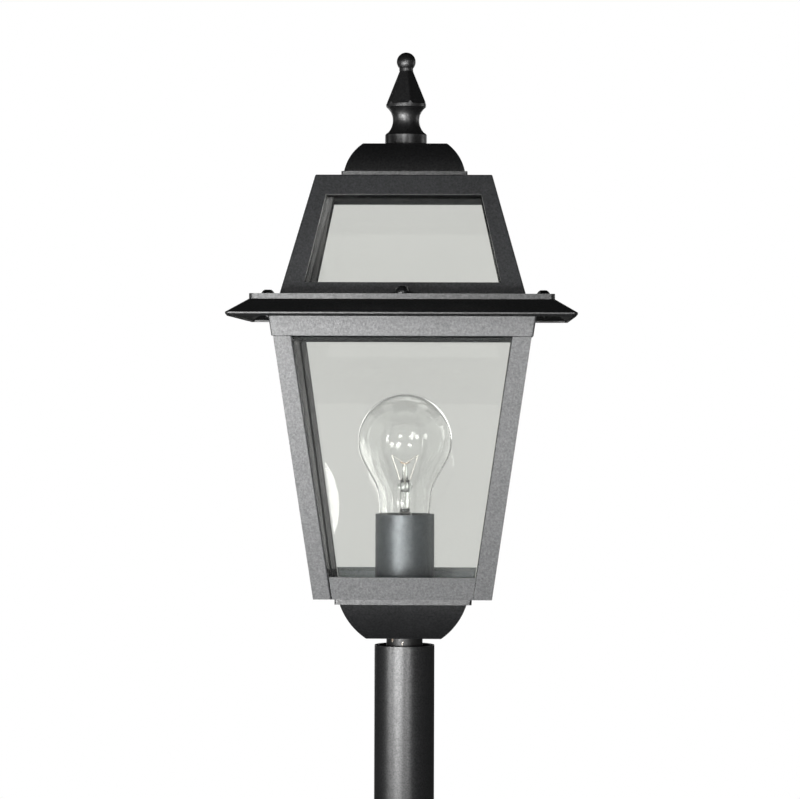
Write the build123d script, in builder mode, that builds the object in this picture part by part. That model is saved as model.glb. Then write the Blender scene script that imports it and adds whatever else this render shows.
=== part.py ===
from build123d import *
import math
import os

# Post top lantern: a square glass lantern, wider at the top, on a round post.
# +Z is up. The origin is on the post's axis, at the open lower end of the post
# tube, where the next post section is pushed in. Sizes are in millimetres.
# "Half" sizes are half of a square's width. Side 0 is the front (-Y), and the
# others follow counter-clockwise seen from above: right, back and left.

# ---------------------------------------------------------------- sizes

# Post tube and the bushing that carries the lantern
post_radius = 19.05
post_length = 130.0
socket_radius = 17.05
socket_clearance = 2.0
post_bore_radius = 16.5
bushing_length = 32.0
bushing_recess = 6.0
bushing_ledge = 3.0
bushing_bore_radius = 8.5
grub_radius = 3.0
grub_drop = 12.0
grub_angles = (60.0, 120.0)
grub_sink = 0.4
grub_key_radius = 1.6
grub_key_depth = 2.5

# Neck between post and bowl
neck_radius = 11.5
neck_bore_radius = 6.5
neck_thread_radius = 9.0
neck_reveal = 5.4
neck_thread_spare = 1.5
neck_nut_flats = 27.0
neck_nut_height = 6.0
neck_washer_radius = 14.5
neck_washer_thickness = 1.6

# Bowl under the body: a square inverted dome with a flat flange on top
bowl_half_bottom = 23.6
bowl_half_top = 39.6
bowl_height = 22.6
bowl_bulge = 2.1
bowl_wall = 2.5
bowl_flange_half = 42.7
bowl_flange_thickness = 4.0
bowl_mouth_half = 28.0
bowl_mouth_corner = 6.0
bowl_screw_place = 34.5
bowl_corner_round = 1.5

# Body frame: four angle posts, four rails and a top ring
body_half_bottom = 55.4
body_half_top = 79.15
body_height = 163.1
frame_wall = 2.2
stile_width = 11.6
stile_corner_round = 1.2
core_reach = 8.0
post_shadow_gap = 0.4
sill_height = 13.8
rail_joint_gap = 0.3
rail_web_thickness = 2.0
rail_web_reach = 11.0
rail_lip_thickness = 1.2
rail_lip_height = 8.0
floor_thickness = 2.0
floor_corner_round = 1.1
ring_height = 20.7
ring_proud = 1.0
ring_shelf_thickness = 3.0
ring_mouth_half = 69.5
ring_lip_thickness = 1.2
ring_lip_drop = 2.0
ring_flange_half = 91.0
ring_flange_thickness = 3.0
gasket_thickness = 1.5
gasket_inner_half = 80.5

# Glass and its sealing beads
glass_thickness = 3.0
glass_end_play = 1.0
glass_side_play = 0.3
bead_width = 3.0
bead_thickness = 2.0

# Eave collar between body and roof
eave_lip_half = 93.0
eave_lip_thickness = 3.3
eave_outer_half = 106.6
eave_slope_drop = 8.3
eave_rim_height = 2.4
eave_edge_height = 0.9
eave_tuck = 1.1
eave_sheet = 2.0
eave_corner_round = 3.0
eave_inner_round = 1.5
eave_mouth_half = 64.0
skirt_clearance = 0.7

# Roof frame
roof_half_bottom = 75.5
roof_half_top = 54.7
roof_height = 74.5
roof_wall = 2.5
roof_top_thickness = 3.0
roof_edge_round = 1.0
roof_stile_low = 12.8
roof_stile_high = 9.9
roof_window_low = 8.1
roof_window_high = 63.05
roof_glass_lap = 4.0
roof_flange_thickness = 2.5
roof_screw_inset = 7.0
roof_screw_spacing = 60.0
vent_radius = 5.0
vent_circle = 22.0

# Cap: a low square dome on the roof
cap_flange_half = 39.3
cap_flange_thickness = 3.2
cap_half_bottom = 37.7
cap_half_top = 26.3
cap_height = 18.2
cap_bulge = 1.95
cap_wall = 2.5

# Finial, its washer and its stud
washer_radius = 12.7
washer_thickness = 1.6
finial_disc_radius = 13.25
finial_disc_height = 6.9
finial_disc_round = 1.5
finial_flare_radius = 11.6
finial_waist_radius = 8.4
finial_waist_height = 14.8
finial_cone_radius = 12.65
finial_cone_height = 26.6
finial_ledge_height = 25.2
finial_rim_height = 3.3
finial_rim_round = 0.8
finial_neck_radius = 4.4
finial_neck_height = 46.2
finial_ball_radius = 6.0
finial_height = 58.0
finial_facets = 6
finial_facet_depth = 0.12
finial_facet_turn = 12.8
stud_radius = 3.0
stud_reach = 6.0
stud_hole_spare = 2.0
stud_spare = 1.0
stud_nut_flats = 10.0
stud_nut_height = 5.0

# Dome-head screws through the eave, and their nuts
dome_radius = 4.6
dome_height = 4.7
dome_flat_radius = 2.05
dome_shank_radius = 2.5
dome_place = 87.6
dome_shank_spare = 1.0
ring_nut_flats = 8.0
ring_nut_height = 4.0

# Small screws of the frame
screw_radius = 1.5
screw_head_radius = 2.2
screw_head_height = 1.6
screw_depth = 8.0
countersink_height = 1.0
bowl_screw_radius = 2.0
bowl_screw_head_radius = 3.5
bowl_screw_head_height = 2.2

# Lampholder
sleeve_radius = 18.75
sleeve_wall = 1.2
sleeve_height = 49.2
holder_base_height = 12.0
holder_base_bore = 12.0
holder_base_top = 3.0
holder_screw_place = 14.7
porcelain_radius = 16.6
porcelain_height = 30.0
porcelain_floor = 2.0
porcelain_step_height = 6.0
porcelain_step_bore = 12.5
shell_outer_radius = 14.1
shell_wall = 0.7
shell_height = 23.5
shell_tab_reach = 6.9
shell_tab_width = 5.0
contact_strip = 0.5
contact_width = 6.0
contact_rise = 1.2
contact_reach = 11.0

# Bulb
bulb_radius = 30.0
bulb_glass_wall = 0.8
bulb_length = 110.5
bulb_cap_radius = 13.1
bulb_cap_length = 27.0
bulb_cap_wall = 0.4
bulb_tip_radius = 4.5
bulb_tip_thickness = 1.2
bulb_insulator_radius = 9.0
bulb_insulator_height = 4.1
bulb_side_angle = 27.5
bulb_neck_radius = 17.3
bulb_neck_height = 47.6
bulb_throat_radius = 15.6
bulb_throat_height = 33.3
stem_foot_radius = 11.8
stem_radius = 3.2
stem_top_height = 55.8
lead_wire_radius = 0.25
filament_radius = 0.18
filament_half_span = 8.3
filament_height = 71.3
filament_dip = 5.2
lead_wire_foot = 3.6

# Wiring in the bowl
block_half_length = 15.0
block_depth = 17.0
block_height = 14.0
block_offset = 8.0
block_pole_pitch = 10.0
block_screw_radius = 1.9
block_screw_well = 2.0
block_screw_sink = 0.6
block_entry_height = 7.0
lead_radius = 1.1
lead_entry_depth = 2.0
lead_bend = 2.0
lead_grommet_place = 2.5
lead_grommet_offset = 1.0
lead_holder_place = 8.0
grommet_bore = 4.0
grommet_hole = 6.0
grommet_flange_radius = 7.5
grommet_flange_thickness = 0.8
earth_place = (-21.0, -9.5)
earth_screw_radius = 2.0
earth_head_radius = 3.5
earth_nut_flats = 7.0
earth_nut_height = 3.0
earth_ring_radius = 4.0
earth_ring_thickness = 0.8
earth_lead_lap = 0.3
earth_screw_spare = 1.0

# Fits
running_gap = 0.05
fit_gap = 0.1
hole_play = 0.2
cut_margin = 1.0

# ---------------------------------------------------------------- heights

bushing_top = post_length - bushing_recess
bushing_bottom = bushing_top - bushing_length
socket_length = bushing_bottom - socket_clearance
grub_height = bushing_top - grub_drop
neck_bottom = bushing_bottom + bushing_ledge
bowl_bottom = post_length + neck_reveal
bowl_floor_top = bowl_bottom + bowl_wall
bowl_top = bowl_bottom + bowl_height
body_bottom = bowl_top + bowl_flange_thickness
floor_top = body_bottom + floor_thickness
web_top = floor_top + rail_web_thickness
sill_top = body_bottom + sill_height
ring_bottom = body_bottom + body_height
ring_top = ring_bottom + ring_height
eave_underside = ring_top + gasket_thickness
eave_top = eave_underside + eave_lip_thickness
eave_slope_bottom = eave_underside - eave_slope_drop
eave_bottom = eave_slope_bottom - eave_rim_height
eave_edge_bottom = eave_slope_bottom - eave_edge_height
roof_flange_top = eave_top + roof_flange_thickness
roof_top = eave_top + roof_height
roof_plate_bottom = roof_top - roof_top_thickness
cap_flange_top = roof_top + cap_flange_thickness
cap_top = cap_flange_top + cap_height
finial_bottom = cap_top + washer_thickness
porcelain_bottom = floor_top + holder_base_height
contact_bottom = porcelain_bottom + porcelain_floor
shell_bottom = porcelain_bottom + porcelain_step_height
bulb_bottom = contact_bottom + contact_rise
bulb_cap_top = bulb_bottom + bulb_cap_length
block_top = body_bottom
block_bottom = block_top - block_height

# ---------------------------------------------------------------- shared shapes

side_names = ("front", "right", "back", "left")
corner_names = ("front_right", "back_right", "back_left", "front_left")
body_slope = (body_half_top - body_half_bottom) / body_height
roof_slope = (roof_half_top - roof_half_bottom) / roof_height
body_lean = math.hypot(1, body_slope)
wall_across = frame_wall * body_lean
core_middle = (wall_across + core_reach) / 2


def body_half(z):
    """Half-width of the body's outer faces at height z."""
    return body_half_bottom + body_slope * (z - body_bottom)


def roof_half(z):
    """Half-width of the roof's outer faces at height z."""
    return roof_half_bottom + roof_slope * (z - eave_top)


def square(z, half, corner=0.0):
    """Level square outline at height z."""
    with BuildSketch(Plane.XY.offset(z)) as outline:
        if corner > 0:
            RectangleRounded(2 * half, 2 * half, corner)
        else:
            Rectangle(2 * half, 2 * half)
    return outline.sketch


def square_block(z, half, height, corner=0.0, mode=Mode.ADD):
    """Upright square block from height z."""
    extrude(square(z, half, corner), amount=height, mode=mode)


def square_taper(low, half_low, high, half_high, corner=0.0, mode=Mode.ADD):
    """Four-sided taper between two heights."""
    sections = [square(low, half_low, corner), square(high, half_high, corner)]
    loft(sections, ruled=True, mode=mode)


def round_block(z, radius, height, mode=Mode.ADD):
    """Upright cylinder on the post's axis, from height z."""
    with BuildSketch(Plane.XY.offset(z)) as outline:
        Circle(radius)
    extrude(outline.sketch, amount=height, mode=mode)


def round_blocks(z, places, radius, height, mode=Mode.ADD):
    """One upright cylinder from height z at each (x, y) place."""
    with BuildSketch(Plane.XY.offset(z)) as outline:
        with Locations(*places):
            Circle(radius)
    extrude(outline.sketch, amount=height, mode=mode)


def countersinks(z, places, mode=Mode.ADD):
    """One countersunk screw head at each (x, y) place, its face at height z."""
    with Locations(*[(x, y, z + countersink_height / 2) for x, y in places]):
        Cone(screw_head_radius, screw_radius, countersink_height, mode=mode)


def hex_blocks(z, places, flats, height):
    """One upright hexagon nut body at each (x, y) place."""
    with BuildSketch(Plane.XY.offset(z)) as outline:
        with Locations(*places):
            RegularPolygon(flats / 2, 6, major_radius=False)
    extrude(outline.sketch, amount=height)


def corner_places(distance):
    """The four diagonal places at the same distance in X and in Y."""
    return [(x * distance, y * distance) for x in (-1, 1) for y in (-1, 1)]


def side_places(distance):
    """The four places in the middle of the sides."""
    return [(0, -distance), (distance, 0), (0, distance), (-distance, 0)]


def side_panel(side, half_at, depth, thickness, low, high, edge_low, edge_high, mode=Mode.ADD):
    """Flat trapezoid on a sloping side, from height low to high, depth in from
    the outer face and square to it. The edges are half-widths at low and high."""
    slope = half_at(1) - half_at(0)
    lean = math.hypot(1, slope)
    angle = math.radians(90 * side - 90)
    outward = Vector(math.cos(angle), math.sin(angle), 0)
    across = Vector(-math.sin(angle), math.cos(angle), 0)
    origin = outward * (half_at(low) - depth * lean) + Vector(0, 0, low)
    rise = (high - low) * lean
    with BuildSketch(Plane(origin, x_dir=across, z_dir=outward - Vector(0, 0, slope))) as outline:
        Polygon((-edge_low, 0), (edge_low, 0), (edge_high, rise), (-edge_high, rise), align=None)
    extrude(outline.sketch, amount=-thickness, mode=mode)


def side_strips(side, half_at, depth, thickness, low, high, edge_low, edge_high, width):
    """Two narrow strips along the upright edges of such a trapezoid."""
    inner_low = edge_low - width
    inner_high = edge_high - width
    side_panel(side, half_at, depth, thickness, low, high, edge_low, edge_high)
    side_panel(side, half_at, depth - cut_margin, thickness + 2 * cut_margin,
               low - cut_margin, high + cut_margin, inner_low, inner_high, mode=Mode.SUBTRACT)


def bulged_square(low, half_low, high, half_high, bulge):
    """Four-sided block whose sides are arcs, standing out by bulge in the middle."""
    run = half_high - half_low
    rise = high - low
    chord = math.hypot(run, rise)
    middle = (half_low + half_high) / 2 + bulge * rise / chord
    level = (low + high) / 2 - bulge * run / chord
    reach = 2 * max(half_low, half_high)
    with BuildPart() as block:
        for plane, mode in ((Plane.XZ, Mode.ADD), (Plane.YZ, Mode.INTERSECT)):
            with BuildSketch(plane) as outline:
                with BuildLine():
                    Line((-half_low, low), (half_low, low))
                    ThreePointArc((half_low, low), (middle, level), (half_high, high))
                    Line((half_high, high), (-half_high, high))
                    ThreePointArc((-half_high, high), (-middle, level), (-half_low, low))
                make_face()
            extrude(outline.sketch, amount=reach, both=True, mode=mode)
    return block.part


def wire(points, radius, bend):
    """Round wire along straight runs joined by arcs."""
    with BuildLine() as route:
        FilletPolyline(*points, radius=bend)
    with BuildSketch(Plane(route.line @ 0, z_dir=route.line % 0)) as outline:
        Circle(radius)
    sweep(outline.sketch, path=route.line)


def save(built, name):
    """Label a finished piece and write it."""
    built.part.label = name
    export_step(built.part, "parts/" + name + ".step")


os.makedirs("parts", exist_ok=True)

# ---------------------------------------------------------------- post


def cut_grub_holes(radius):
    """Radial holes of the grub screws, through the post and the bushing."""
    for angle in grub_angles:
        outward = Vector(1, 0, 0).rotate(Axis.Z, angle)
        with BuildSketch(Plane(Vector(0, 0, grub_height), z_dir=outward)) as outline:
            Circle(radius)
        extrude(outline.sketch, amount=2 * post_radius, mode=Mode.SUBTRACT)


with BuildPart() as post_tube:
    round_block(0, post_radius, post_length)
    round_block(0, socket_radius, socket_length, mode=Mode.SUBTRACT)
    round_block(socket_length, post_bore_radius, post_length - socket_length, mode=Mode.SUBTRACT)
    cut_grub_holes(grub_radius + running_gap)
save(post_tube, "post_tube")

with BuildPart() as post_bushing:
    round_block(bushing_bottom, post_bore_radius - running_gap, bushing_length)
    round_block(bushing_bottom, bushing_bore_radius, bushing_length, mode=Mode.SUBTRACT)
    round_block(neck_bottom, neck_radius + running_gap, bushing_length, mode=Mode.SUBTRACT)
    cut_grub_holes(grub_radius + running_gap)
save(post_bushing, "post_bushing")

with BuildPart() as post_grub_screws:
    for grub_angle in grub_angles:
        outward = Vector(1, 0, 0).rotate(Axis.Z, grub_angle)
        tip = outward * (neck_radius + fit_gap) + Vector(0, 0, grub_height)
        grub_length = post_radius - grub_sink - neck_radius - fit_gap
        with BuildSketch(Plane(tip, z_dir=outward)):
            Circle(grub_radius)
        extrude(amount=grub_length)
        with BuildSketch(Plane(tip + outward * grub_length, z_dir=outward)):
            RegularPolygon(grub_key_radius, 6)
        extrude(amount=-grub_key_depth, mode=Mode.SUBTRACT)
save(post_grub_screws, "post_grub_screws")

# ---------------------------------------------------------------- neck and bowl

neck_nut_bottom = bowl_floor_top + neck_washer_thickness
neck_top = neck_nut_bottom + neck_nut_height + neck_thread_spare

with BuildPart() as neck_spigot:
    round_block(neck_bottom, neck_radius, bowl_bottom - neck_bottom)
    round_block(bowl_bottom, neck_thread_radius, neck_top - bowl_bottom)
    round_block(neck_bottom, neck_bore_radius, neck_top - neck_bottom, mode=Mode.SUBTRACT)
save(neck_spigot, "neck_spigot")

with BuildPart() as neck_washer:
    round_block(bowl_floor_top, neck_washer_radius, neck_washer_thickness)
    round_block(bowl_floor_top, neck_thread_radius + hole_play, neck_washer_thickness,
                mode=Mode.SUBTRACT)
save(neck_washer, "neck_washer")

with BuildPart() as neck_locknut:
    hex_blocks(neck_nut_bottom, [(0, 0)], neck_nut_flats, neck_nut_height)
    round_block(neck_nut_bottom, neck_thread_radius + running_gap, neck_nut_height,
                mode=Mode.SUBTRACT)
save(neck_locknut, "neck_locknut")

bowl_outside = bulged_square(bowl_bottom, bowl_half_bottom, bowl_top, bowl_half_top, bowl_bulge)
bowl_inside = bulged_square(bowl_floor_top, bowl_half_bottom - bowl_wall / 2,
                            bowl_top, bowl_half_top - bowl_wall, bowl_bulge)

with BuildPart() as bowl:
    add(bowl_outside)
    square_block(bowl_top, bowl_flange_half, bowl_flange_thickness, bowl_corner_round)
    add(bowl_inside, mode=Mode.SUBTRACT)
    square_block(bowl_top, bowl_mouth_half, bowl_flange_thickness, bowl_mouth_corner,
                 mode=Mode.SUBTRACT)
    round_block(bowl_bottom, neck_thread_radius + running_gap, bowl_wall, mode=Mode.SUBTRACT)
    round_blocks(bowl_top, corner_places(bowl_screw_place), bowl_screw_radius + running_gap,
                 bowl_flange_thickness, mode=Mode.SUBTRACT)
save(bowl, "bowl")

with BuildPart() as bowl_screws:
    round_blocks(bowl_top, corner_places(bowl_screw_place), bowl_screw_radius,
                 floor_top - bowl_top)
    round_blocks(floor_top, corner_places(bowl_screw_place), bowl_screw_head_radius,
                 bowl_screw_head_height)
save(bowl_screws, "bowl_screws")

# ---------------------------------------------------------------- floor plate

floor_half = body_half(body_bottom) - wall_across - fit_gap
post_screw_low = body_half(floor_top) - core_middle
rail_screw_place = body_half(floor_top) - (rail_web_reach + wall_across + rail_lip_thickness
                                           + glass_thickness) / 2
floor_screw_places = corner_places(post_screw_low) + side_places(rail_screw_place)

with BuildPart() as floor_plate:
    square_block(body_bottom, floor_half, floor_thickness, floor_corner_round)
    for hole_places, hole_radius in (
        ([(0, 0)], grommet_hole),
        (corner_places(bowl_screw_place), bowl_screw_radius + hole_play),
        (corner_places(post_screw_low), screw_radius + hole_play),
        (side_places(rail_screw_place), screw_radius + hole_play),
        ([(-holder_screw_place, 0), (holder_screw_place, 0)], screw_radius + hole_play),
        ([earth_place], earth_screw_radius + hole_play),
    ):
        round_blocks(body_bottom, hole_places, hole_radius, floor_thickness, mode=Mode.SUBTRACT)
    countersinks(body_bottom, floor_screw_places, mode=Mode.SUBTRACT)
save(floor_plate, "floor_plate")

# ---------------------------------------------------------------- body frame


def open_half(z):
    """Half-width of the body's windows at height z."""
    return body_half(z) - stile_width


def corner_outline(z, distances):
    """Outline at height z by distances in from the right and the front faces."""
    half = body_half(z)
    with BuildSketch(Plane.XY.offset(z)) as outline:
        Polygon(*[(half - a, b - half) for a, b in distances], align=None)
    return outline.sketch


leg_outline = (
    (0, 0), (stile_width, 0), (stile_width, wall_across),
    (wall_across, wall_across), (wall_across, stile_width), (0, stile_width),
)
core_outline = (
    (wall_across / 2, wall_across / 2), (core_reach, wall_across / 2),
    (core_reach, core_reach), (wall_across / 2, core_reach),
)
post_screw_high = body_half(ring_bottom) - core_middle
leg_top = ring_bottom - post_shadow_gap

with BuildPart() as corner_post:
    loft([corner_outline(body_bottom, leg_outline), corner_outline(leg_top, leg_outline)],
         ruled=True)
    loft([corner_outline(floor_top, core_outline), corner_outline(ring_bottom, core_outline)],
         ruled=True)
    outer_edge = corner_post.edges().filter_by(
        lambda edge: edge.length > leg_top - body_bottom).sort_by(Axis.X)[-1]
    fillet(outer_edge, stile_corner_round)
    round_blocks(floor_top, [(post_screw_low, -post_screw_low)], screw_radius + running_gap,
                 screw_depth, mode=Mode.SUBTRACT)
    round_blocks(ring_bottom, [(post_screw_high, -post_screw_high)], screw_radius + running_gap,
                 -screw_depth, mode=Mode.SUBTRACT)

for turn, corner_name in enumerate(corner_names):
    with BuildPart() as placed_post:
        add(corner_post.part, rotation=(0, 0, 90 * turn))
    save(placed_post, "corner_post_" + corner_name)

glass_depth = frame_wall + fit_gap
bead_depth = glass_depth + glass_thickness
lip_depth = bead_depth + fit_gap
glass_edge = core_reach + glass_side_play

for turn, side_name in enumerate(side_names):
    with BuildPart() as rail:
        side_panel(turn, body_half, 0, frame_wall, body_bottom, sill_top,
                   open_half(body_bottom) - rail_joint_gap, open_half(sill_top) - rail_joint_gap)
        web_half = open_half(floor_top) - rail_joint_gap
        web_out = body_half(floor_top) - wall_across / 2
        web_in = body_half(floor_top) - rail_web_reach
        with BuildSketch(Plane.XY.offset(floor_top).rotated((0, 0, 90 * turn))) as web:
            with Locations((0, -(web_out + web_in) / 2)):
                Rectangle(2 * web_half, web_out - web_in)
        extrude(web.sketch, amount=rail_web_thickness)
        side_panel(turn, body_half, lip_depth, rail_lip_thickness,
                   floor_top + rail_web_thickness / 2, web_top + rail_lip_height,
                   web_half, web_half)
        rail_screw = side_places(rail_screw_place)[turn]
        round_blocks(floor_top, [rail_screw], screw_radius + running_gap,
                     rail_web_thickness, mode=Mode.SUBTRACT)
    save(rail, "bottom_rail_" + side_name)

with BuildPart() as floor_screws:
    round_blocks(body_bottom, corner_places(post_screw_low), screw_radius,
                 floor_thickness + screw_depth)
    round_blocks(body_bottom, side_places(rail_screw_place), screw_radius,
                 floor_thickness + rail_web_thickness)
    countersinks(body_bottom, floor_screw_places)
save(floor_screws, "floor_screws")


def bead_pair(side, half_at, depth, low, high, edge_at):
    """The two beads along the upright edges of one pane."""
    with BuildPart() as pair:
        side_strips(side, half_at, depth, bead_thickness, low, high,
                    edge_at(low), edge_at(high), bead_width)
    return pair.part


def body_glass_edge(z):
    """Half-width of the body's panes at height z."""
    return body_half(z) - glass_edge


for turn, side_name in enumerate(side_names):
    with BuildPart() as pane:
        pane_top = ring_bottom - glass_end_play
        side_panel(turn, body_half, glass_depth, glass_thickness, web_top, pane_top,
                   body_glass_edge(web_top), body_glass_edge(pane_top))
    save(pane, "body_pane_" + side_name)


body_bead_low = web_top + rail_lip_height + glass_end_play
body_bead_high = ring_bottom - glass_end_play
body_bead_pairs = [bead_pair(turn, body_half, bead_depth, body_bead_low, body_bead_high,
                             body_glass_edge) for turn in range(4)]

with BuildPart() as body_beads:
    add(body_bead_pairs)
save(body_beads, "body_beads")

# ---------------------------------------------------------------- top ring

ring_wall = wall_across + ring_proud
shelf_top = ring_bottom + ring_shelf_thickness
lip_bottom = ring_bottom - ring_lip_drop

with BuildPart() as top_ring:
    square_taper(ring_bottom, body_half(ring_bottom) + ring_proud,
                 ring_top, body_half(ring_top) + ring_proud, stile_corner_round)
    square_block(ring_top - ring_flange_thickness, ring_flange_half, ring_flange_thickness,
                 stile_corner_round)
    square_taper(shelf_top, body_half(shelf_top) + ring_proud - ring_wall,
                 ring_top, body_half(ring_top) + ring_proud - ring_wall, mode=Mode.SUBTRACT)
    square_block(lip_bottom, ring_mouth_half + ring_lip_thickness, ring_lip_drop)
    square_block(lip_bottom, ring_mouth_half, ring_lip_drop + ring_shelf_thickness,
                 mode=Mode.SUBTRACT)
    round_blocks(ring_bottom, corner_places(post_screw_high), screw_radius + hole_play,
                 ring_shelf_thickness, mode=Mode.SUBTRACT)
    round_blocks(ring_top - ring_flange_thickness, side_places(dome_place),
                 dome_shank_radius + hole_play, ring_flange_thickness, mode=Mode.SUBTRACT)
save(top_ring, "top_ring")

with BuildPart() as ring_screws:
    round_blocks(shelf_top, corner_places(post_screw_high), screw_radius,
                 -ring_shelf_thickness - screw_depth)
    round_blocks(shelf_top, corner_places(post_screw_high), screw_head_radius,
                 screw_head_height)
save(ring_screws, "ring_screws")

ring_nut_bottom = ring_top - ring_flange_thickness - ring_nut_height

with BuildPart() as ring_nuts:
    hex_blocks(ring_nut_bottom, side_places(dome_place), ring_nut_flats, ring_nut_height)
    round_blocks(ring_nut_bottom, side_places(dome_place), dome_shank_radius + running_gap,
                 ring_nut_height, mode=Mode.SUBTRACT)
save(ring_nuts, "ring_nuts")

with BuildPart() as eave_gasket:
    square_block(ring_top, ring_flange_half, gasket_thickness, stile_corner_round)
    square_block(ring_top, gasket_inner_half, gasket_thickness, mode=Mode.SUBTRACT)
    round_blocks(ring_top, side_places(dome_place), dome_shank_radius + hole_play,
                 gasket_thickness, mode=Mode.SUBTRACT)
save(eave_gasket, "eave_gasket")

# ---------------------------------------------------------------- eave collar

roof_screw_line = roof_half_bottom - roof_screw_inset
roof_screw_places = []
for along in (-roof_screw_spacing / 2, roof_screw_spacing / 2):
    roof_screw_places += [(along, -roof_screw_line), (along, roof_screw_line)]
    roof_screw_places += [(-roof_screw_line, along), (roof_screw_line, along)]

# The inside of the sloping skirt lies one sheet thickness in from its outside.
skirt_run = eave_outer_half - eave_lip_half
skirt_inset = eave_sheet * math.hypot(skirt_run, eave_slope_drop) / eave_slope_drop
skirt_mouth_half = ring_flange_half + skirt_clearance
skirt_mouth_z = eave_slope_bottom + eave_slope_drop * (
    eave_outer_half - skirt_inset - skirt_mouth_half) / skirt_run
skirt_foot_half = eave_outer_half - eave_sheet
skirt_foot_z = eave_slope_bottom + eave_slope_drop * (
    eave_sheet - skirt_inset) / skirt_run

with BuildPart() as eave_collar:
    square_block(eave_underside, eave_lip_half, eave_lip_thickness, eave_corner_round)
    square_taper(eave_slope_bottom, eave_outer_half, eave_underside, eave_lip_half,
                 eave_corner_round)
    square_block(eave_edge_bottom, eave_outer_half, eave_edge_height, eave_corner_round)
    square_taper(eave_bottom, eave_outer_half - eave_tuck, eave_edge_bottom, eave_outer_half,
                 eave_corner_round)
    square_block(skirt_mouth_z, skirt_mouth_half, eave_underside - skirt_mouth_z,
                 eave_inner_round, mode=Mode.SUBTRACT)
    square_taper(skirt_foot_z, skirt_foot_half, skirt_mouth_z, skirt_mouth_half,
                 eave_inner_round, mode=Mode.SUBTRACT)
    square_block(eave_bottom, skirt_foot_half, skirt_foot_z - eave_bottom,
                 eave_inner_round, mode=Mode.SUBTRACT)
    square_block(eave_underside, eave_mouth_half, eave_lip_thickness, mode=Mode.SUBTRACT)
    round_blocks(eave_underside, side_places(dome_place), dome_shank_radius + hole_play,
                 eave_lip_thickness, mode=Mode.SUBTRACT)
    round_blocks(eave_underside, roof_screw_places, screw_radius + hole_play,
                 eave_lip_thickness, mode=Mode.SUBTRACT)
save(eave_collar, "eave_collar")

with BuildPart() as dome_screw:
    with BuildSketch(Plane.XZ) as dome_half:
        with BuildLine():
            shank_bottom = ring_nut_bottom - dome_shank_spare
            dome_top = eave_top + dome_height
            Line((0, dome_top), (0, shank_bottom))
            Line((0, shank_bottom), (dome_shank_radius, shank_bottom))
            Line((dome_shank_radius, shank_bottom), (dome_shank_radius, eave_top))
            Line((dome_shank_radius, eave_top), (dome_radius, eave_top))
            RadiusArc((dome_radius, eave_top), (dome_flat_radius, dome_top), -dome_radius)
            Line((dome_flat_radius, dome_top), (0, dome_top))
        make_face()
    revolve(dome_half.sketch, axis=Axis.Z)

with BuildPart() as dome_screws:
    with Locations(*side_places(dome_place)):
        add(dome_screw.part)
save(dome_screws, "dome_screws")

# ---------------------------------------------------------------- roof

window_low = eave_top + roof_window_low
window_high = eave_top + roof_window_high
window_half_low = roof_half(window_low) - roof_stile_low
window_half_high = roof_half(window_high) - roof_stile_high
roof_wall_across = roof_wall * math.hypot(1, roof_slope)

with BuildPart() as roof_frame:
    square_taper(eave_top, roof_half_bottom, roof_top, roof_half_top)
    upper_edges = roof_frame.edges().filter_by(
        lambda edge: edge.center().Z > eave_top + roof_height / 4)
    fillet(upper_edges, roof_edge_round)
    square_taper(roof_flange_top, roof_half(roof_flange_top) - roof_wall_across,
                 roof_plate_bottom, roof_half(roof_plate_bottom) - roof_wall_across,
                 mode=Mode.SUBTRACT)
    square_block(eave_top, eave_mouth_half, roof_flange_thickness, mode=Mode.SUBTRACT)
    for turn in range(4):
        side_panel(turn, roof_half, -roof_wall, 3 * roof_wall, window_low, window_high,
                   window_half_low, window_half_high, mode=Mode.SUBTRACT)
    round_blocks(eave_top, roof_screw_places, screw_radius + running_gap,
                 roof_flange_thickness, mode=Mode.SUBTRACT)
    round_block(roof_plate_bottom, stud_radius + hole_play, roof_top_thickness,
                mode=Mode.SUBTRACT)
    round_blocks(roof_plate_bottom, side_places(vent_circle), vent_radius, roof_top_thickness,
                 mode=Mode.SUBTRACT)
save(roof_frame, "roof_frame")

with BuildPart() as roof_screws:
    round_blocks(eave_underside, roof_screw_places, screw_radius,
                 eave_lip_thickness + roof_flange_thickness)
    round_blocks(eave_underside - screw_head_height, roof_screw_places, screw_head_radius,
                 screw_head_height)
save(roof_screws, "roof_screws")

roof_glass_depth = roof_wall + fit_gap
roof_glass_top = window_high + roof_glass_lap
roof_glass_low = roof_flange_top + glass_end_play


def roof_glass_edge(z):
    """Half-width of the roof's panes at height z, parallel to the window's edges."""
    share = (z - window_low) / (window_high - window_low)
    return window_half_low + share * (window_half_high - window_half_low) + roof_glass_lap


for turn, side_name in enumerate(side_names):
    with BuildPart() as roof_pane:
        side_panel(turn, roof_half, roof_glass_depth, glass_thickness, roof_glass_low,
                   roof_glass_top, roof_glass_edge(roof_glass_low),
                   roof_glass_edge(roof_glass_top))
    save(roof_pane, "roof_pane_" + side_name)

roof_bead_pairs = [bead_pair(turn, roof_half, roof_glass_depth + glass_thickness,
                             roof_glass_low + glass_end_play, roof_glass_top - glass_end_play,
                             roof_glass_edge) for turn in range(4)]

with BuildPart() as roof_beads:
    add(roof_bead_pairs)
save(roof_beads, "roof_beads")

# ---------------------------------------------------------------- cap and finial

cap_outside = bulged_square(cap_flange_top, cap_half_bottom, cap_top, cap_half_top, cap_bulge)
cap_inside = bulged_square(cap_flange_top, cap_half_bottom - cap_wall,
                           cap_top - cap_wall, cap_half_top - cap_wall / 2, cap_bulge)

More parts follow.
